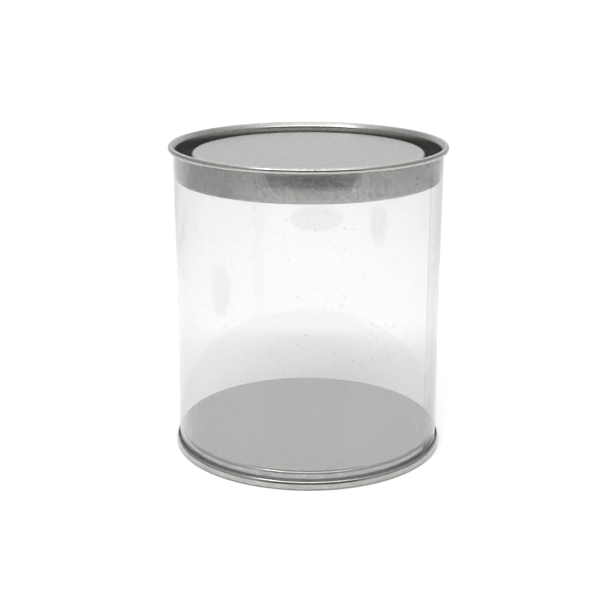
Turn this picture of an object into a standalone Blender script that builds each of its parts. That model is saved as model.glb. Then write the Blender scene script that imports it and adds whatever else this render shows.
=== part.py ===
"""Clear-walled candle tin: a rolled clear plastic tube, a pressed base and a push-in lid.

Units are metres and +Z is up. The origin is the centre of the ring that the base stands on.
The lid is modelled pushed home, and lifts straight up along the axis of the tube.
"""

import math

import bpy
from mathutils import Matrix, Vector

MM = 0.001

# Overall
SEGMENTS = 72                       # facets round every turned piece
ARC_STEPS = 3                       # facets round each bend of a sheet
SHEET = 0.25 * MM                   # thickness of the tinplate
RUNNING_GAP = 0.3 * MM              # kept between pieces that touch in the real tin
TIN_HEIGHT = 88.64 * MM

# Tube: one sheet rolled up, its two edges lapped and bonded
TUBE_RADIUS = 38.0 * MM             # outside, away from the lap
TUBE_WALL = 0.3 * MM
BOND_LINE = 0.04 * MM               # between the two layers of the lap
LAP_START = math.radians(61.0)      # from the front, towards +X: the edge of the inner layer
LAP_END = math.radians(76.0)        # the edge of the outer layer
LAP_RAMP = math.radians(5.0)        # over which a layer steps in or out
TUBE_FACET = math.radians(5.0)      # about this much of the turn in each facet

# Base: raised floor, plug wall, channel for the tube, lip closed in round the tube
FLOOR_TOP = 5.05 * MM
BASE_PLUG_RADIUS = 37.35 * MM       # outside
FLOOR_BEND = 0.375 * MM
CHANNEL_BEND = 0.4 * MM
LIP_RADIUS = 38.94 * MM             # outside
LIP_BEND = 0.75 * MM
LIP_TOP = 2.6 * MM
LIP_TURN = math.radians(62.0)       # how far the lip's edge closes in over the channel
LIP_EDGE = 0.08 * MM                # straight run left at the lip's edge

# Lid: curl, plug wall, channel, raised panel
CURL_RADIUS = 39.4 * MM             # outside
CURL_HEIGHT = 1.68 * MM
CURL_TIP_RADIUS = 37.9 * MM
LID_PLUG_TOP_RADIUS = 37.4 * MM     # outside, where the plug wall leaves the curl
LID_PLUG_FOOT_RADIUS = 37.22 * MM   # outside, at the foot of the plug wall
LID_PLUG_DEPTH = 8.0 * MM           # below the underside of the curl
FOOT_BEND = 0.4 * MM
PANEL_SINK = 2.18 * MM              # the panel lies this far below the top of the curl
PANEL_RADIUS = 32.95 * MM           # outside of the panel's wall
PANEL_BEND = 1.05 * MM
PANEL_WALL_SPREAD = 0.35 * MM       # the panel's wall leans out by this much towards its foot
PANEL_FOOT_BEND = 0.8 * MM

# Worked out from the above
HALF_SHEET = SHEET / 2
CHANNEL_FLOOR = SHEET
TUBE_FOOT = CHANNEL_FLOOR + RUNNING_GAP
LID_SEAT = TIN_HEIGHT - CURL_HEIGHT  # underside of the curl
TUBE_TOP = LID_SEAT - RUNNING_GAP


def clear_scene():
    for item in list(bpy.data.objects):
        bpy.data.objects.remove(item, do_unlink=True)


def make_material(name, colour, metallic, roughness, transmission=0.0, ior=1.45):
    material = bpy.data.materials.new(name)
    material.use_nodes = True
    shader = material.node_tree.nodes["Principled BSDF"]
    shader.inputs["Base Color"].default_value = (*colour, 1.0)
    shader.inputs["Metallic"].default_value = metallic
    shader.inputs["Roughness"].default_value = roughness
    shader.inputs["Transmission Weight"].default_value = transmission
    shader.inputs["IOR"].default_value = ior
    material.diffuse_color = (*colour, 1.0)
    return material


def make_tinplate(name):
    return make_material(name, colour=(0.58, 0.57, 0.56), metallic=1.0, roughness=0.28)


def rounded_path(corners):
    """Turn corners given as (x, z, bend radius) into the points of a path with rounded bends."""
    places = [Vector((x, z)) for x, z, _ in corners]
    path = [places[0]]
    for index in range(1, len(corners) - 1):
        corner, radius = places[index], corners[index][2]
        back = (places[index - 1] - corner).normalized()
        ahead = (places[index + 1] - corner).normalized()
        half_angle = back.angle(ahead) / 2
        centre = corner + (back + ahead).normalized() * radius / math.sin(half_angle)
        arm = corner + back * radius / math.tan(half_angle) - centre
        turn = math.copysign(math.pi - 2 * half_angle, back.x * ahead.y - back.y * ahead.x)
        for step in range(ARC_STEPS + 1):
            path.append(centre + Matrix.Rotation(-turn * step / ARC_STEPS, 2) @ arm)
    path.append(places[-1])
    return path


def thicken(item, thickness):
    """Give a sheet its thickness, half to each side of the surface it is modelled as."""
    shell = item.modifiers.new("Thickness", "SOLIDIFY")
    shell.thickness = thickness
    shell.offset = 0.0
    shell.use_even_offset = True


def turned_sheet(name, corners, collection, material):
    """A piece pressed from sheet, turned round +Z from the middle line of its section."""
    path = rounded_path(corners)
    mesh = bpy.data.meshes.new(name)
    edges = [(index, index + 1) for index in range(len(path) - 1)]
    mesh.from_pydata([(point.x, 0.0, point.y) for point in path], edges, [])
    mesh.materials.append(material)
    item = bpy.data.objects.new(name, mesh)
    collection.objects.link(item)
    turning = item.modifiers.new("Turning", "SCREW")
    turning.axis = "Z"
    turning.angle = 2 * math.pi
    turning.steps = SEGMENTS
    turning.render_steps = SEGMENTS
    turning.use_merge_vertices = True
    turning.merge_threshold = 0.001 * MM
    turning.use_smooth_shade = True
    thicken(item, SHEET)
    return item


def make_base(collection):
    """Floor panel, plug wall, channel and lip, from the centre of the floor out to the lip's edge."""
    floor = FLOOR_TOP - HALF_SHEET
    wall = BASE_PLUG_RADIUS - HALF_SHEET
    foot = HALF_SHEET
    face = LIP_RADIUS - HALF_SHEET
    shoulder = LIP_TOP - (LIP_BEND + HALF_SHEET) * math.sin(LIP_TURN)
    reach = LIP_BEND * math.tan(LIP_TURN / 2)
    run = reach + LIP_EDGE
    corners = [
        (0.0, floor, 0.0),
        (wall, floor, FLOOR_BEND),
        (wall, foot, CHANNEL_BEND),
        (face, foot, LIP_BEND),
        (face, shoulder + reach, LIP_BEND),
        (face - run * math.sin(LIP_TURN), shoulder + reach + run * math.cos(LIP_TURN), 0.0),
    ]
    return turned_sheet("base", corners, collection, make_tinplate("base_tinplate"))


def make_lid(collection):
    """Panel, channel, plug wall and curl, from the panel's centre out to the curl's hidden tip.

    Heights are measured from the underside of the curl, which is where the lid's origin is.
    """
    top = CURL_HEIGHT - HALF_SHEET
    underside = HALF_SHEET
    curl_bend = (top - underside) / 2
    panel = CURL_HEIGHT - PANEL_SINK - HALF_SHEET
    foot = HALF_SHEET - LID_PLUG_DEPTH
    panel_wall = PANEL_RADIUS - HALF_SHEET
    corners = [
        (0.0, panel, 0.0),
        (panel_wall, panel, PANEL_BEND),
        (panel_wall + PANEL_WALL_SPREAD, foot, PANEL_FOOT_BEND),
        (LID_PLUG_FOOT_RADIUS - HALF_SHEET, foot, FOOT_BEND),
        (LID_PLUG_TOP_RADIUS - HALF_SHEET, top, curl_bend),
        (CURL_RADIUS - HALF_SHEET, top, curl_bend),
        (CURL_RADIUS - HALF_SHEET, underside, curl_bend),
        (CURL_TIP_RADIUS, underside, 0.0),
    ]
    lid = turned_sheet("lid", corners, collection, make_tinplate("lid_tinplate"))
    lid.location = (0.0, 0.0, LID_SEAT)
    return lid


def rolled_radius(angle):
    """Radius of the sheet's middle line. The angle runs on from the inner layer's edge for over a turn."""
    plain = TUBE_RADIUS - TUBE_WALL / 2
    step = (TUBE_WALL + BOND_LINE) / 2
    full_turn = 2 * math.pi
    if angle <= LAP_END:
        return plain - step
    climb_start = full_turn + LAP_START - LAP_RAMP
    if angle < climb_start:
        return plain - step * max(0.0, 1.0 - (angle - LAP_END) / LAP_RAMP)
    return plain + step * min(1.0, (angle - climb_start) / LAP_RAMP)


def rolled_angles():
    """Facet angles along the rolled sheet, evenly spread within each of its five stretches."""
    full_turn = 2 * math.pi
    stretches = [
        LAP_START,
        LAP_END,
        LAP_END + LAP_RAMP,
        full_turn + LAP_START - LAP_RAMP,
        full_turn + LAP_START,
        full_turn + LAP_END,
    ]
    angles = [stretches[0]]
    for start, end in zip(stretches, stretches[1:]):
        facets = round((end - start) / TUBE_FACET)
        angles.extend(start + (end - start) * facet / facets for facet in range(1, facets + 1))
    return angles


def make_tube(collection):
    """The clear wall: the rolled sheet's line seen from above, drawn out to its height."""
    curve = bpy.data.curves.new("tube", "CURVE")
    curve.dimensions = "3D"
    curve.extrude = (TUBE_TOP - TUBE_FOOT) / 2
    angles = rolled_angles()
    line = curve.splines.new("POLY")
    line.points.add(len(angles) - 1)
    for point, angle in zip(line.points, angles):
        radius = rolled_radius(angle)
        point.co = (radius * math.sin(angle), -radius * math.cos(angle), 0.0, 1.0)
    plastic = make_material(
        "tube_clear_plastic", (0.95, 0.95, 0.96), metallic=0.0, roughness=0.04, transmission=1.0, ior=1.53
    )
    curve.materials.append(plastic)
    tube = bpy.data.objects.new("tube", curve)
    tube.location = (0.0, 0.0, (TUBE_TOP + TUBE_FOOT) / 2)
    collection.objects.link(tube)
    thicken(tube, TUBE_WALL)
    return tube


def main():
    clear_scene()
    collection = bpy.data.collections.new("candle_tin")
    bpy.context.scene.collection.children.link(collection)
    make_base(collection)
    make_tube(collection)
    make_lid(collection)


main()
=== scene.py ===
"""Looks of the candle tin: fine tinplate pressings, the rolled clear wall, and a soft white studio.

Everything is in metres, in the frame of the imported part. +Z is up and the camera stands on the -Y side.
Angles round the tin are measured from the front, which is -Y, towards +X.
"""

import math

import bpy
import numpy as np
from mathutils import Matrix, Vector, noise

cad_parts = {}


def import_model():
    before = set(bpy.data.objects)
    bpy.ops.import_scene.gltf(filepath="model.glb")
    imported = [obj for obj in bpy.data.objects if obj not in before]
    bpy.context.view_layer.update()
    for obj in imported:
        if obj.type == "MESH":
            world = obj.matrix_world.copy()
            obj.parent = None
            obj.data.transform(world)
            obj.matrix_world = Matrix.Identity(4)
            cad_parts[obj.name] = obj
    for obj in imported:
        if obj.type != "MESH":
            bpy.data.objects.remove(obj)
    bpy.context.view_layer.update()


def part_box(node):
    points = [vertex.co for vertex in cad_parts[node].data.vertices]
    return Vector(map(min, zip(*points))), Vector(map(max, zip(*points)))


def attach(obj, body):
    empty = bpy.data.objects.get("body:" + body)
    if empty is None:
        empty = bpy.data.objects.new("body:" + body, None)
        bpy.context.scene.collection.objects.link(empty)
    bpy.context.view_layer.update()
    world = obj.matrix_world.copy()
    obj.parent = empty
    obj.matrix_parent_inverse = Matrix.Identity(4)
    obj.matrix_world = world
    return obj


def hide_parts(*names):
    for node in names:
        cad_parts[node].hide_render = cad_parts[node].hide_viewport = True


MM = 0.001
FULL_TURN = 2 * math.pi

# How finely the meshes are drawn
TURN_STEPS = 288                    # round every turned piece
BEND_STEP = math.radians(9.0)       # round every bend of a section
RUN_STEP = 1.2 * MM                 # along the straight runs of a section
ARC_RUN = 0.4 * MM                  # along a wide bend
EDGE_STEPS = 4                      # round the cut edge of a sheet
WALL_ROWS = 72                      # up the clear wall

# Tinplate
SHEET = 0.25 * MM

# Lid section. Insets run from the curl's outside to the sheet's, and bends are of the sheet's middle line.
CURL_HEIGHT = 1.68 * MM
CURL_TIP_INSET = 1.5 * MM
PLUG_TOP_INSET = 1.9 * MM
PLUG_FOOT_INSET = 2.1 * MM
PLUG_LEAN_DROP = 4.2 * MM           # the plug wall starts to lean in about here, below the curl's underside
PLUG_LEAN_BEND = 25.0 * MM
FOOT_BEND = 0.4 * MM
SHOULDER_DROP = 1.2 * MM            # between the curl and the plug wall, on the inside
SHOULDER_REACH = 0.95 * MM
SHOULDER_BEND = 0.9 * MM
CREST_BEND = 0.45 * MM
PANEL_SINK = 2.18 * MM
PANEL_INSET = 6.45 * MM
PANEL_BEND = 1.05 * MM
PANEL_WALL_SPREAD = 0.35 * MM
PANEL_FOOT_BEND = 0.8 * MM

# Base section
BASE_PLUG_INSET = 1.44 * MM
FLOOR_BEND = 0.85 * MM
CHANNEL_BEND = 0.4 * MM
LIP_FOOT_BEND = 0.8 * MM
LIP_BEND = 1.3 * MM
LIP_TOP = 2.35 * MM
LIP_TURN = math.radians(37.0)
LIP_EDGE = 0.15 * MM                # straight run left at the lip's edge

# How far the sheet metal is out of true
WALL_WAVE = 0.05 * MM
PANEL_WAVE = 0.04 * MM
WAVE_LENGTH = 22.0 * MM
WAVE_FADE = 3.0 * MM                # height over which the downwards push grows to its full size

# Tinplate surface. Scales are in waves per mm.
TIN_COLOUR = (0.454, 0.449, 0.436)
TIN_METALLIC = 0.95
TIN_TONE = 0.96
TIN_ROUGHNESS = 0.20
GRAIN_SCALE = 1.2
MOTTLE_SCALE = 0.25
ROLLING_SCALE = 1.2
ROLLING_STRETCH = (0.03, 1.0, 1.0)
WEAR_SCALE = 0.7
SCRATCH_SCALE = 0.22
SCRATCH_STRETCH = (1.0, 0.25, 1.0)
WALL_GRAIN = 0.5                    # how much the grain changes the tone of upright walls
PANEL_GRAIN = 0.55                  # and of level panels
DRAW_SCALE = 55.0                   # waves per radius, round the wall
DRAW_RISE = 0.012                   # how little the draw marks change up the wall
RELIEF_DEPTH = 0.0015 * MM
BASE_OFFSET = 137.0                 # mm, so that the base's pattern isn't the lid's

# How much each mark adds to the tone, the roughness and the relief
TONE_OF = {"mottle": 0.08, "drawing": 0.65, "wear": 0.06, "dirt": -0.35}
ROUGHNESS_OF = {"mottle": 0.03, "rolling": 0.04, "wear": -0.03, "dirt": 0.4, "scratch": 0.03}
HEIGHT_OF = {"grain": 1.0, "rolling": 0.35, "drawing": 0.5, "scratch": -0.2}

# Rolled wall
WALL = 0.3 * MM
BOND_LINE = 0.04 * MM
LAP_START = math.radians(61.0)      # the inner layer's edge
LAP_END = math.radians(76.0)        # the outer layer's edge
LAP_RAMP = math.radians(5.0)
FILM_SLOT, CUT_SLOT, BOND_SLOT = 0, 1, 2
NICK_ANGLE = math.radians(56.0)
NICK_WIDTH = math.radians(3.4)
NICK_DEPTH = 0.9 * MM

# Film surface
FILM_PASSED = 0.947                 # share of the light that one face lets through, seen face on
FILM_EDGE_LOSS = 0.055              # and how much less when seen edge on
FILM_MIRRORED = 0.044               # share that one face mirrors, seen face on
FILM_ROUGHNESS = 0.03
FILM_RELIEF = 0.003 * MM
DUST = 0.14                         # how much a speck of dust covers
PATTERN_RADIUS = 38.0               # mm, for laying the sheet's pattern flat
GAP_LIGHT_TOP = 3.05                    # mm, top of the pale band on the film's foot that paints light into the dark gap above the base's lip
GAP_LIGHT_FADE = 0.6                    # mm
GAP_LIGHT = 0.26                        # how much the pale band of painted light covers

# Camera, in tube radii
CAMERA_BACK = 9.369
CAMERA_HEIGHT = 3.9186
CAMERA_PITCH = math.radians(16.64)
CAMERA_YAW = math.radians(0.372)
CAMERA_ROLL = math.radians(0.058)
CAMERA_LENS = 76.6                  # mm, on a sensor of the default 36 mm

# Studio
FLOOR_REACH = 4.0
FLOOR_DROP = 0.05 * MM
FLOOR_GREY = 0.94
GLOW_START = 0.3                    # the floor starts to glow this far from the tin, and is white at the end
GLOW_END = 0.9
GLOW = 1.15                         # brightness of the glow, and of what the camera sees past the floor
SURROUND_BACK = 0.045               # how far behind the tin the surround has its middle
SURROUND_WIDTH = (-1.2, 1.2)        # from left to right
SURROUND_DEPTH = (-1.2, 0.9)        # from front to back
TABLE_DEPTH = (-0.9, 0.2)
TIN_MIDDLE = (0.0, 0.0, 0.04)       # where the lamps point


# ---------------------------------------------------------------- sections of sheet metal

def straight_run(start, end):
    """Points from start up to, but not including, end."""
    steps = max(1, math.ceil((end - start).length / RUN_STEP))
    return [start.lerp(end, step / steps) for step in range(steps)]


def bent_line(corners):
    """Points along a line of (radius, height, bend) corners, with every bend drawn as an arc."""
    places = [Vector((x, z)) for x, z, _ in corners]
    line = []
    last = places[0]
    for index in range(1, len(corners) - 1):
        corner, bend = places[index], corners[index][2]
        back = (places[index - 1] - corner).normalized()
        ahead = (places[index + 1] - corner).normalized()
        half_angle = back.angle(ahead) / 2
        centre = corner + (back + ahead).normalized() * bend / math.sin(half_angle)
        arm = corner + back * bend / math.tan(half_angle) - centre
        turn = math.copysign(math.pi - 2 * half_angle, back.x * ahead.y - back.y * ahead.x)
        steps = max(2, math.ceil(abs(turn) / BEND_STEP), math.ceil(abs(turn) * bend / ARC_RUN))
        line += straight_run(last, centre + arm)
        line += [centre + Matrix.Rotation(-turn * step / steps, 2) @ arm for step in range(steps)]
        last = centre + Matrix.Rotation(-turn, 2) @ arm
    line += straight_run(last, places[-1])
    line.append(places[-1])
    return line


def sheet_section(line):
    """A sheet's outline from its middle line, which starts on the axis: out, round the edge, and back."""
    half = SHEET / 2
    points = np.array([tuple(point) for point in line])
    along = np.gradient(points, axis=0)
    along /= np.linalg.norm(along, axis=1)[:, None]
    along[0] = (1.0, 0.0)
    across = np.stack([-along[:, 1], along[:, 0]], axis=1)
    turns = [math.pi * step / EDGE_STEPS for step in range(1, EDGE_STEPS)]
    edge = [points[-1] + half * (math.cos(t) * across[-1] + math.sin(t) * along[-1]) for t in turns]
    return np.concatenate([points + across * half, edge, (points - across * half)[::-1]])


def bend_share(section):
    """For each point of an outline, 1 where the outline bends and 0 where it runs straight."""
    steps = np.diff(section, axis=0)
    headings = np.unwrap(np.arctan2(steps[:, 1], steps[:, 0]))
    share = np.clip(np.abs(np.diff(headings)) / BEND_STEP, 0.0, 1.0)
    share = np.concatenate([[0.0], share, [0.0]])
    return np.convolve(share, (0.25, 0.5, 0.25), mode="same")


def wave(x, y, z):
    """A smooth random push, as (inwards, downwards). Neither is below 0, and z = 0 stays where it is."""
    place = Vector((x, y, z)) / WAVE_LENGTH
    elsewhere = place + Vector((7.3, 1.9, 4.1))
    inwards = WALL_WAVE * (1 + noise.noise(place)) / 2
    downwards = PANEL_WAVE * (1 + noise.noise(elsewhere)) / 2
    return inwards, downwards * min(1.0, z / WAVE_FADE)


def turned_mesh(name, section):
    """Turn an outline that starts and ends on the axis round +Z, a little out of true."""
    ring = section[1:-1]
    count = len(ring)
    vertices = [(0.0, 0.0, section[0][1])]
    for turn in range(TURN_STEPS):
        angle = turn * FULL_TURN / TURN_STEPS
        east, north = math.sin(angle), -math.cos(angle)
        for radius, height in ring:
            inwards, downwards = wave(radius * east, radius * north, height)
            wide = radius - inwards
            vertices.append((wide * east, wide * north, height - downwards))
    last = len(vertices)
    vertices.append((0.0, 0.0, section[-1][1]))
    faces = []
    for turn in range(TURN_STEPS):
        here = 1 + turn * count
        there = 1 + (turn + 1) % TURN_STEPS * count
        faces.append((0, here, there))
        faces += [(here + i, here + i + 1, there + i + 1, there + i) for i in range(count - 1)]
        faces.append((here + count - 1, last, there + count - 1))
    mesh = bpy.data.meshes.new(name)
    mesh.from_pydata(vertices, [], faces)
    mesh.shade_smooth()
    bends = mesh.attributes.new("bend", "FLOAT", "POINT")
    bends.data.foreach_set("value", [0.0, *np.tile(bend_share(section)[1:-1], TURN_STEPS), 0.0])
    return mesh


# ---------------------------------------------------------------- the three pieces

def add_piece(mesh, node, body, materials):
    """Show a mesh in place of a CAD node, riding on its body."""
    piece = bpy.data.objects.new(mesh.name, mesh)
    bpy.context.scene.collection.objects.link(piece)
    for material in materials:
        mesh.materials.append(material)
    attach(piece, body)
    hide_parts(node)


def lid_mesh():
    low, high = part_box("lid")
    outside = high.x
    half = SHEET / 2
    top = high.z - half
    underside = high.z - CURL_HEIGHT + half
    curl_bend = (top - underside) / 2
    panel = high.z - PANEL_SINK - half
    foot = low.z + half
    panel_wall = outside - PANEL_INSET - half
    plug_wall = outside - PLUG_TOP_INSET - half
    corners = [
        (0.0, panel, 0.0),
        (panel_wall, panel, PANEL_BEND),
        (panel_wall + PANEL_WALL_SPREAD, foot, PANEL_FOOT_BEND),
        (outside - PLUG_FOOT_INSET - half, foot, FOOT_BEND),
        (plug_wall, underside - PLUG_LEAN_DROP, PLUG_LEAN_BEND),
        (plug_wall, top - SHOULDER_DROP, SHOULDER_BEND),
        (plug_wall + SHOULDER_REACH, top, CREST_BEND),
        (outside - half, top, curl_bend),
        (outside - half, underside, curl_bend),
        (outside - CURL_TIP_INSET, underside, 0.0),
    ]
    return turned_mesh("lid_pressing", sheet_section(bent_line(corners)))


def base_mesh():
    low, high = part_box("base")
    outside = high.x
    half = SHEET / 2
    floor = high.z - half
    wall = outside - BASE_PLUG_INSET - half
    foot = low.z + half
    face = outside - half
    reach = LIP_BEND * math.tan(LIP_TURN / 2)
    run = reach + LIP_EDGE
    shoulder = LIP_TOP - (LIP_BEND + half) * math.sin(LIP_TURN)
    corners = [
        (0.0, floor, 0.0),
        (wall, floor, FLOOR_BEND),
        (wall, foot, CHANNEL_BEND),
        (face, foot, LIP_FOOT_BEND),
        (face, shoulder + reach, LIP_BEND),
        (face - run * math.sin(LIP_TURN), shoulder + reach + run * math.cos(LIP_TURN), 0.0),
    ]
    return turned_mesh("base_pressing", sheet_section(bent_line(corners)))


def ease(share):
    """0 up to 0, 1 from 1 on, and smooth between."""
    share = min(1.0, max(0.0, share))
    return share * share * (3 - 2 * share)


def rolled_radius(angle, plain):
    """Radius of the wall's middle line. The angle runs on from the inner layer's edge for over a turn."""
    step = (WALL + BOND_LINE) / 2
    climb_start = FULL_TURN + LAP_START - LAP_RAMP
    if angle < climb_start:
        return plain - step * (1 - ease((angle - LAP_END) / LAP_RAMP))
    return plain + step * ease((angle - climb_start) / LAP_RAMP)


def wall_faces(columns, turn):
    """The rolled sheet's faces and material slots. A column goes up the outside and down the inside."""
    ring = 2 * WALL_ROWS
    faces, slots = [], []
    for column in range(columns):
        here, there = column * ring, (column + 1) * ring
        angle = turn * (column + 0.5) / columns
        bonded_outside = angle < LAP_END - LAP_START
        bonded_inside = angle > FULL_TURN
        for i in range(ring):
            after = (i + 1) % ring
            faces.append((here + i, there + i, there + after, here + after))
            if i in (WALL_ROWS - 1, ring - 1):
                slots.append(CUT_SLOT)
            elif bonded_outside and i < WALL_ROWS or bonded_inside and i >= WALL_ROWS:
                slots.append(BOND_SLOT)
            else:
                slots.append(FILM_SLOT)
    last = columns * ring
    for i in range(WALL_ROWS - 1):
        far = ring - 1 - i
        faces.append((i, i + 1, far - 1, far))
        faces.append((last + i, last + far, last + far - 1, last + i + 1))
        slots += [FILM_SLOT, CUT_SLOT]  # only the outer layer's edge shows as frosted
    return faces, slots


def wall_mesh():
    """The clear wall: one sheet rolled over a full turn, with cut edges and a nick in its top edge."""
    low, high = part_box("tube")
    plain = -low.x - WALL / 2
    turn = FULL_TURN + LAP_END - LAP_START
    columns = math.ceil(turn / FULL_TURN * TURN_STEPS)
    shares = np.linspace(0.0, 1.0, WALL_ROWS)
    vertices = []
    for column in range(columns + 1):
        angle = LAP_START + turn * column / columns
        radius = rolled_radius(angle, plain)
        nick = NICK_DEPTH * (1 - ease(abs(angle - FULL_TURN - NICK_ANGLE) / NICK_WIDTH))
        heights = low.z + (high.z - nick - low.z) * shares
        east, north = math.sin(angle), -math.cos(angle)
        for wide, column_heights in ((radius + WALL / 2, heights), (radius - WALL / 2, heights[::-1])):
            vertices += [(wide * east, wide * north, height) for height in column_heights]
    faces, slots = wall_faces(columns, turn)
    mesh = bpy.data.meshes.new("tube_sheet")
    mesh.from_pydata(vertices, [], faces)
    mesh.shade_smooth()
    mesh.set_sharp_from_angle(angle=math.radians(40.0))
    mesh.polygons.foreach_set("material_index", slots)
    return mesh


# ---------------------------------------------------------------- material nodes

def feed(tree, socket, value):
    """Link a socket to another socket, or set it to a plain value."""
    if isinstance(value, bpy.types.NodeSocket):
        tree.links.new(value, socket)
    else:
        socket.default_value = value


def node(tree, kind, inputs=(), **settings):
    """Add a node. Inputs are values or sockets, in a dictionary by name or in order."""
    made = tree.nodes.new("ShaderNode" + kind)
    for name, value in settings.items():
        setattr(made, name, value)
    pairs = inputs.items() if isinstance(inputs, dict) else enumerate(inputs)
    for key, value in pairs:
        feed(tree, made.inputs[key], value)
    return made


def calc(tree, operation, *values):
    return node(tree, "Math", values, operation=operation).outputs[0]


def span(tree, value, low, high, to_low=0.0, to_high=1.0):
    """Map low..high onto to_low..to_high with smooth ends."""
    inputs = (value, low, high, to_low, to_high)
    return node(tree, "MapRange", inputs, interpolation_type="SMOOTHSTEP").outputs[0]


def weighted(tree, marks, weights, start):
    """The start value, plus each mark times its weight."""
    total = start
    for mark, weight in weights.items():
        total = calc(tree, "MULTIPLY_ADD", marks[mark], weight, total)
    return total


def new_material(name):
    material = bpy.data.materials.new(name)
    material.use_nodes = True
    material.node_tree.nodes.clear()
    return material, material.node_tree


def finish_material(tree, shader):
    node(tree, "OutputMaterial", (shader,))


def place_in_mm(tree, offset):
    """The place on the piece, in its own frame and in mm. The offset gives each piece its own pattern."""
    place = node(tree, "TexCoord").outputs["Object"]
    scaled = node(tree, "VectorMath", {0: place, "Scale": 1 / MM}, operation="SCALE").outputs[0]
    return node(tree, "VectorMath", (scaled, (offset, offset, 0.0)), operation="ADD").outputs[0]


def fuzz(tree, place, scale, detail, stretch=(1.0, 1.0, 1.0)):
    """Noise about 0.5. The scale is in waves per mm, and a stretch below 1 draws it out along that axis."""
    where = node(tree, "Mapping", {"Vector": place, "Scale": stretch}).outputs[0]
    return node(tree, "TexNoise", {"Vector": where, "Scale": scale, "Detail": detail}).outputs["Fac"]


def specks(tree, place, spacing, size, share, dimensions="3D"):
    """1 on tiny round specks. This share of the cells has one, and size is the radius of the largest."""
    inputs = {"Vector": place, "Scale": 1 / spacing}
    cells = node(tree, "TexVoronoi", inputs, voronoi_dimensions=dimensions)
    chance = node(tree, "SeparateColor", (cells.outputs["Color"],)).outputs
    chosen = calc(tree, "LESS_THAN", chance[0], share)
    reach = calc(tree, "MULTIPLY", chance[1], size / spacing)
    inside = calc(tree, "LESS_THAN", cells.outputs["Distance"], reach)
    return calc(tree, "MULTIPLY", chosen, inside)


def hairlines(tree, place, scale, stretch, width):
    """1 on thin wandering scratches: where a stretched noise passes through its middle value."""
    level = fuzz(tree, place, scale, detail=1.0, stretch=stretch)
    off = calc(tree, "ABSOLUTE", calc(tree, "SUBTRACT", level, 0.5))
    line = span(tree, off, 0.0, width, to_low=1.0, to_high=0.0)
    patch = span(tree, fuzz(tree, place, 0.08, detail=1.0), 0.56, 0.64)
    return calc(tree, "MULTIPLY", line, patch)


# ---------------------------------------------------------------- materials

def flatness(tree):
    """1 on level faces and 0 on upright ones."""
    facing = node(tree, "SeparateXYZ", (node(tree, "NewGeometry").outputs["True Normal"],)).outputs[2]
    return calc(tree, "ABSOLUTE", facing)


def draw_marks(tree, place):
    """Fine upright streaks, kept to the upright walls, where the metal was drawn over the die."""
    parts = node(tree, "SeparateXYZ", (place,)).outputs
    level = node(tree, "CombineXYZ", (parts[0], parts[1], 0.0)).outputs[0]
    outwards = node(tree, "VectorMath", (level,), operation="NORMALIZE").outputs[0]
    height = calc(tree, "MULTIPLY", parts[2], DRAW_RISE)
    rise = node(tree, "CombineXYZ", (0.0, 0.0, height)).outputs[0]
    where = node(tree, "VectorMath", (outwards, rise)).outputs[0]
    streaks = fuzz(tree, where, DRAW_SCALE, detail=3.0)
    upright = span(tree, flatness(tree), 0.2, 0.6, to_low=1.0, to_high=0.0)
    return calc(tree, "MULTIPLY", calc(tree, "SUBTRACT", streaks, 0.5), upright)


def tinplate(name, offset):
    """Bright tinplate: a fine matt grain, a faint mottle, rolling and draw marks, specks and worn bends."""
    material, tree = new_material(name)
    place = place_in_mm(tree, offset)
    bend = node(tree, "Attribute", attribute_name="bend").outputs["Fac"]
    worn = span(tree, fuzz(tree, place, WEAR_SCALE, detail=4.0), 0.48, 0.62)
    marks = {
        "grain": fuzz(tree, place, GRAIN_SCALE, detail=4.0),
        "mottle": fuzz(tree, place, MOTTLE_SCALE, detail=3.0),
        "rolling": fuzz(tree, place, ROLLING_SCALE, detail=3.0, stretch=ROLLING_STRETCH),
        "drawing": draw_marks(tree, place),
        "wear": calc(tree, "MULTIPLY", bend, worn),
        "dirt": specks(tree, place, spacing=1.5, size=0.32, share=0.25),
        "scratch": hairlines(tree, place, SCRATCH_SCALE, SCRATCH_STRETCH, width=0.004),
    }
    grain = calc(tree, "SUBTRACT", marks["grain"], 0.5)
    grain_depth = span(tree, flatness(tree), 0.7, 0.98, to_low=WALL_GRAIN, to_high=PANEL_GRAIN)
    tone = weighted(tree, marks, TONE_OF, calc(tree, "MULTIPLY_ADD", grain, grain_depth, TIN_TONE))
    colour = node(tree, "VectorMath", {0: TIN_COLOUR, "Scale": tone}, operation="SCALE").outputs[0]
    rough = weighted(tree, marks, ROUGHNESS_OF, TIN_ROUGHNESS)
    height = weighted(tree, marks, HEIGHT_OF, 0.0)
    relief = node(tree, "Bump", {"Strength": 1.0, "Distance": RELIEF_DEPTH, "Height": height}).outputs[0]
    shader = node(tree, "BsdfPrincipled", {
        "Base Color": colour, "Metallic": TIN_METALLIC, "Roughness": rough, "Normal": relief,
    })
    finish_material(tree, shader.outputs[0])
    return material


def turned_away(tree):
    """0 where a surface is seen face on, from either side, and 1 where it is seen edge on."""
    geometry = node(tree, "NewGeometry").outputs
    facing = node(tree, "VectorMath", (geometry["Normal"], geometry["Incoming"]), operation="DOT_PRODUCT")
    return calc(tree, "SUBTRACT", 1.0, calc(tree, "ABSOLUTE", facing.outputs["Value"]))


def unrolled(tree, place):
    """The place on the tube's wall as if the sheet were laid flat, in mm."""
    parts = node(tree, "SeparateXYZ", (place,)).outputs
    angle = calc(tree, "ARCTAN2", parts[0], parts[1])
    along = calc(tree, "MULTIPLY", angle, PATTERN_RADIUS)
    return node(tree, "CombineXYZ", (along, parts[2], 0.0)).outputs[0]


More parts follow.
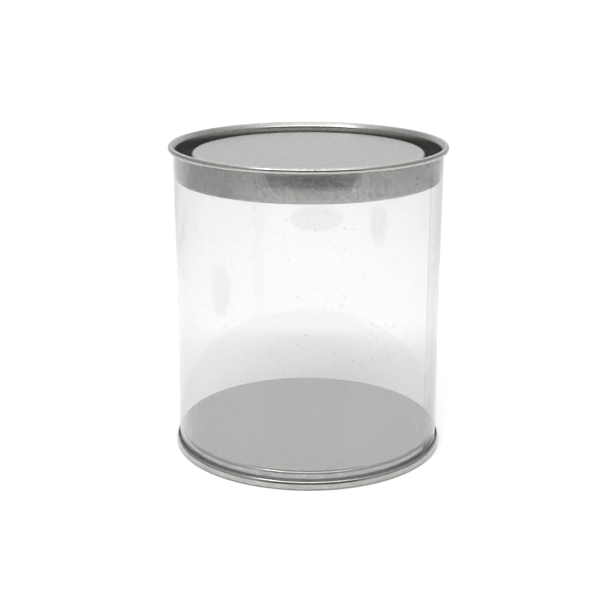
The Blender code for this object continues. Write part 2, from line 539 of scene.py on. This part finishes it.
def painted_gap_light(tree, place):
    """How much pale diffuse is mixed into the film's foot, just above the base's lip: painted light that
    lightens the dark gap between the lip and the wall.
    """
    height = node(tree, "SeparateXYZ", (place,)).outputs[2]
    gap_light = span(tree, height, GAP_LIGHT_TOP - GAP_LIGHT_FADE, GAP_LIGHT_TOP, to_low=GAP_LIGHT, to_high=0.0)
    uneven = span(tree, fuzz(tree, place, 1.5, detail=3.0), 0.3, 0.7, to_low=0.75, to_high=1.0)
    return calc(tree, "MULTIPLY", gap_light, uneven)


def clear_plastic(name):
    """A film too thin to bend light. It lets most of it through, and mirrors a little on both faces."""
    material, tree = new_material(name)
    place = place_in_mm(tree, 0.0)
    away = turned_away(tree)
    passed = calc(tree, "MULTIPLY_ADD", calc(tree, "POWER", away, 3.0), -FILM_EDGE_LOSS, FILM_PASSED)
    tint = node(tree, "CombineColor", (passed, passed, passed)).outputs[0]
    through = node(tree, "BsdfTransparent", (tint,)).outputs[0]
    waviness = fuzz(tree, place, 0.06, detail=1.0)
    relief = node(tree, "Bump", {"Distance": FILM_RELIEF, "Height": waviness}).outputs[0]
    mirror = node(tree, "BsdfGlossy", {
        "Color": (1.0, 1.0, 1.0, 1.0), "Roughness": FILM_ROUGHNESS, "Normal": relief,
    }).outputs[0]
    share = calc(tree, "POWER", away, 6.0)
    mirrored = calc(tree, "MULTIPLY_ADD", share, 1.0 - FILM_MIRRORED, FILM_MIRRORED)
    film = node(tree, "MixShader", (mirrored, through, mirror)).outputs[0]
    # Painted light: a pale diffuse band at the film's foot lightens the dark gap above the base's lip.
    pale = node(tree, "BsdfDiffuse", ((0.62, 0.62, 0.62, 1.0),)).outputs[0]
    film = node(tree, "MixShader", (painted_gap_light(tree, place), film, pale)).outputs[0]
    dust = specks(tree, unrolled(tree, place), spacing=2.6, size=0.24, share=0.50, dimensions="2D")
    dull = node(tree, "BsdfDiffuse", ((0.35, 0.34, 0.33, 1.0),)).outputs[0]
    dusty = node(tree, "MixShader", (calc(tree, "MULTIPLY", dust, DUST), film, dull))
    finish_material(tree, dusty.outputs[0])
    return material


def cut_plastic(name):
    """The film's slit edge: a little frosted, so that it draws a thin grey line."""
    material, tree = new_material(name)
    uneven = fuzz(tree, place_in_mm(tree, 0.0), 1.0, detail=3.0)
    frost = span(tree, uneven, 0.3, 0.7, to_low=0.5, to_high=0.8)
    through = node(tree, "BsdfTransparent", ((0.9, 0.9, 0.92, 1.0),)).outputs[0]
    dull = node(tree, "BsdfPrincipled", {"Base Color": (0.75, 0.75, 0.77, 1.0), "Roughness": 0.35})
    finish_material(tree, node(tree, "MixShader", (frost, through, dull.outputs[0])).outputs[0])
    return material


def bonded_plastic(name):
    """The faces inside the lap: the bond wets them, so they mirror nothing and dim the light a little."""
    material, tree = new_material(name)
    uneven = fuzz(tree, place_in_mm(tree, 0.0), 0.3, detail=2.0)
    passed = span(tree, uneven, 0.3, 0.7, to_low=0.98, to_high=0.995)
    colour = node(tree, "CombineColor", (passed, passed, passed)).outputs[0]
    finish_material(tree, node(tree, "BsdfTransparent", (colour,)).outputs[0])
    return material


# ---------------------------------------------------------------- studio

def grid_mesh(name, rows):
    """A sheet through rows of points, all rows having the same number."""
    across = len(rows[0])
    faces = []
    for row in range(len(rows) - 1):
        here, there = row * across, (row + 1) * across
        faces += [(here + i, here + i + 1, there + i + 1, there + i) for i in range(across - 1)]
    mesh = bpy.data.meshes.new(name)
    mesh.from_pydata([point for row in rows for point in row], [], faces)
    return mesh


def add_stage(mesh, material):
    item = bpy.data.objects.new(mesh.name, mesh)
    bpy.context.scene.collection.objects.link(item)
    mesh.materials.append(material)
    return item


def floor_material():
    """White paper that glows towards its far edge. A camera below the floor sees through it."""
    material, tree = new_material("floor")
    paper = node(tree, "BsdfDiffuse", ((FLOOR_GREY, FLOOR_GREY, FLOOR_GREY, 1.0),)).outputs[0]
    glow = node(tree, "Emission", {"Strength": GLOW}).outputs[0]
    place = node(tree, "TexCoord").outputs["Object"]
    distance = node(tree, "VectorMath", (place,), operation="LENGTH").outputs["Value"]
    share = span(tree, distance, GLOW_START, GLOW_END)
    paper = node(tree, "MixShader", (share, paper, glow)).outputs[0]
    origin = ((0.0, 0.0, 0.0),)
    spaces = {"convert_from": "CAMERA", "convert_to": "WORLD"}
    camera = node(tree, "VectorTransform", origin, vector_type="POINT", **spaces).outputs[0]
    height = node(tree, "SeparateXYZ", (camera,)).outputs[2]
    below = calc(tree, "LESS_THAN", height, 0.0)
    clear = node(tree, "BsdfTransparent").outputs[0]
    finish_material(tree, node(tree, "MixShader", (below, paper, clear)).outputs[0])
    return material


def add_floor():
    rows = [[(x, y, -FLOOR_DROP) for x in (-FLOOR_REACH, FLOOR_REACH)] for y in (-FLOOR_REACH, FLOOR_REACH)]
    add_stage(grid_mesh("floor", rows), floor_material())


def card_material(name, grey, fade_along, fade_start, fade_end):
    """Dull grey that fades in between two distances from the card's origin, along the axes in fade_along."""
    material, tree = new_material(name)
    dull = node(tree, "BsdfDiffuse", ((grey, grey, grey, 1.0),)).outputs[0]
    clear = node(tree, "BsdfTransparent").outputs[0]
    place = node(tree, "TexCoord").outputs["Object"]
    place = node(tree, "VectorMath", (place, fade_along), operation="MULTIPLY").outputs[0]
    distance = node(tree, "VectorMath", (place,), operation="LENGTH").outputs["Value"]
    share = span(tree, distance, fade_start, fade_end)
    finish_material(tree, node(tree, "MixShader", (share, clear, dull)).outputs[0])
    return material


def add_reflected_card(mesh, grey, fade_along=(1.0, 1.0, 0.0), fade_start=0.0, fade_end=0.01):
    """A dull card that is seen in reflections only, and casts no shadow."""
    card = add_stage(mesh, card_material(mesh.name, grey, fade_along, fade_start, fade_end))
    card.visible_camera = False
    card.visible_diffuse = False
    card.visible_shadow = False
    return card


def floor_place(bearing, distance):
    """A place just above the floor, at an angle from the front and a distance from the middle of the tin."""
    return (distance * math.sin(bearing), -distance * math.cos(bearing), FLOOR_DROP)


def add_camera_side():
    """The dark side of the room. It is a floor that starts at a rounded edge, and ends at a wall."""
    bearing, half_turn = math.radians(3.0), math.radians(42.0)
    near, fade, rounding = 0.40, 0.07, 0.12
    wall, wall_top = 0.95, 0.78
    columns = 61
    rows = [[], [], []]
    for column in range(columns):
        share = 2 * column / (columns - 1) - 1
        angle = bearing + half_turn * share
        rows[0].append(floor_place(angle, near + rounding * share ** 4))
        rows[1].append(floor_place(angle, wall))
        rows[2].append((*rows[1][-1][:2], wall_top))
    mesh = grid_mesh("camera_side", rows)
    add_reflected_card(mesh, grey=0.05, fade_start=near, fade_end=near + fade)


def add_mat(name, bearing, distance, half_turn, half_depth, grey):
    """An oval mat on the floor, bent round the tin. Its bearing and half turn are in degrees."""
    corners = 48
    points = []
    for corner in range(corners):
        turn = FULL_TURN * corner / corners
        angle = math.radians(bearing + half_turn * math.cos(turn))
        points.append(floor_place(angle, distance + half_depth * math.sin(turn)))
    mesh = bpy.data.meshes.new(name)
    mesh.from_pydata(points, [], [tuple(range(corners))])
    add_reflected_card(mesh, grey)


def add_side(name, near_x, full_x, far_x, grey):
    """A grey table top at one side, which the metal mirrors. It fades in from near_x to full_x."""
    rows = [[(x, y, 0.5 * FLOOR_DROP) for x in (near_x, far_x)] for y in TABLE_DEPTH]
    mesh = grid_mesh(name, rows)
    add_reflected_card(mesh, grey, fade_along=(1.0, 0.0, 0.0), fade_start=abs(near_x), fade_end=abs(full_x))


def add_surround():
    """The paper gets a little darker away from the tin, as the metal mirrors it."""
    rows = [[(x, y, 0.25 * FLOOR_DROP) for x in SURROUND_WIDTH] for y in SURROUND_DEPTH]
    card = add_reflected_card(grid_mesh("surround", rows), grey=0.73, fade_start=0.12, fade_end=0.30)
    card.location.y = SURROUND_BACK


def add_lamp(name, place, width, height, radiance, mirrored=True):
    """A soft box facing the tin. Radiance is its brightness as seen, where 1 is white."""
    data = bpy.data.lights.new(name, "AREA")
    data.shape = "RECTANGLE"
    data.size = width
    data.size_y = height
    data.energy = radiance * math.pi * width * height
    lamp = bpy.data.objects.new(name, data)
    lamp.location = place
    lamp.rotation_euler = (Vector(TIN_MIDDLE) - Vector(place)).to_track_quat("-Z", "Y").to_euler()
    lamp.visible_glossy = mirrored
    bpy.context.scene.collection.objects.link(lamp)


def add_world():
    """White all round, less bright low down and at the sides. The camera itself sees plain white."""
    world = bpy.data.worlds.new("studio")
    bpy.context.scene.world = world
    world.use_nodes = True
    tree = world.node_tree
    tree.nodes.clear()
    towards = node(tree, "SeparateXYZ", (node(tree, "TexCoord").outputs["Generated"],)).outputs
    sideways = calc(tree, "ABSOLUTE", towards[0])
    by_height = span(tree, towards[2], 0.10, 0.42, to_low=0.67, to_high=1.10)
    by_side = span(tree, sideways, 0.25, 0.75, to_low=1.0, to_high=0.45)
    overhead = span(tree, towards[2], 0.60, 0.90, to_low=0.0, to_high=0.32)
    glow = calc(tree, "ADD", calc(tree, "MULTIPLY", by_height, by_side), overhead)
    seen = calc(tree, "MULTIPLY", node(tree, "LightPath").outputs["Is Camera Ray"], GLOW)
    strength = calc(tree, "MAXIMUM", glow, seen)
    background = node(tree, "Background", {"Color": (1.0, 1.0, 1.0, 1.0), "Strength": strength})
    node(tree, "OutputWorld", (background.outputs[0],))


def add_camera():
    tube_radius = -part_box("tube")[0].x
    data = bpy.data.cameras.new("camera")
    data.lens = CAMERA_LENS
    camera = bpy.data.objects.new("camera", data)
    place = Matrix.Translation((0.0, -CAMERA_BACK * tube_radius, CAMERA_HEIGHT * tube_radius))
    turn = Matrix.Rotation(CAMERA_YAW, 4, "Z") @ Matrix.Rotation(math.pi / 2 - CAMERA_PITCH, 4, "X")
    camera.matrix_world = place @ turn @ Matrix.Rotation(CAMERA_ROLL, 4, "Z")
    bpy.context.scene.collection.objects.link(camera)
    bpy.context.scene.camera = camera


def add_studio():
    add_world()
    add_floor()
    add_camera_side()
    add_surround()
    add_side("left_table", near_x=-0.10, full_x=-0.32, far_x=-1.2, grey=0.50)
    add_side("right_table", near_x=0.14, full_x=0.50, far_x=1.2, grey=0.60)
    add_mat("front_mat", bearing=6.5, distance=0.366, half_turn=21.0, half_depth=0.0295, grey=0.04)
    add_mat("left_mat", bearing=-73.0, distance=0.219, half_turn=10.5, half_depth=0.040, grey=0.04)
    add_mat("right_mat", bearing=58.0, distance=0.340, half_turn=7.5, half_depth=0.050, grey=0.40)
    add_lamp("front_light", (-0.02, -0.55, 0.92), width=0.50, height=0.09, radiance=18.0, mirrored=False)
    add_lamp("front_strip", (-0.02, -0.50, 0.88), width=1.30, height=0.14, radiance=3.8)
    add_lamp("left_light", (-0.46, -0.44, 1.02), width=0.15, height=0.15, radiance=16.0)


# ---------------------------------------------------------------- the scene

def main():
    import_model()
    add_piece(lid_mesh(), "lid", "lid", [tinplate("lid_metal", 0.0)])
    add_piece(base_mesh(), "base", "container", [tinplate("base_metal", BASE_OFFSET)])
    plastics = [clear_plastic("film"), cut_plastic("film_cut_edge"), bonded_plastic("film_bond")]
    add_piece(wall_mesh(), "tube", "container", plastics)
    add_studio()
    add_camera()
    bpy.context.scene.view_settings.view_transform = "Standard"


main()
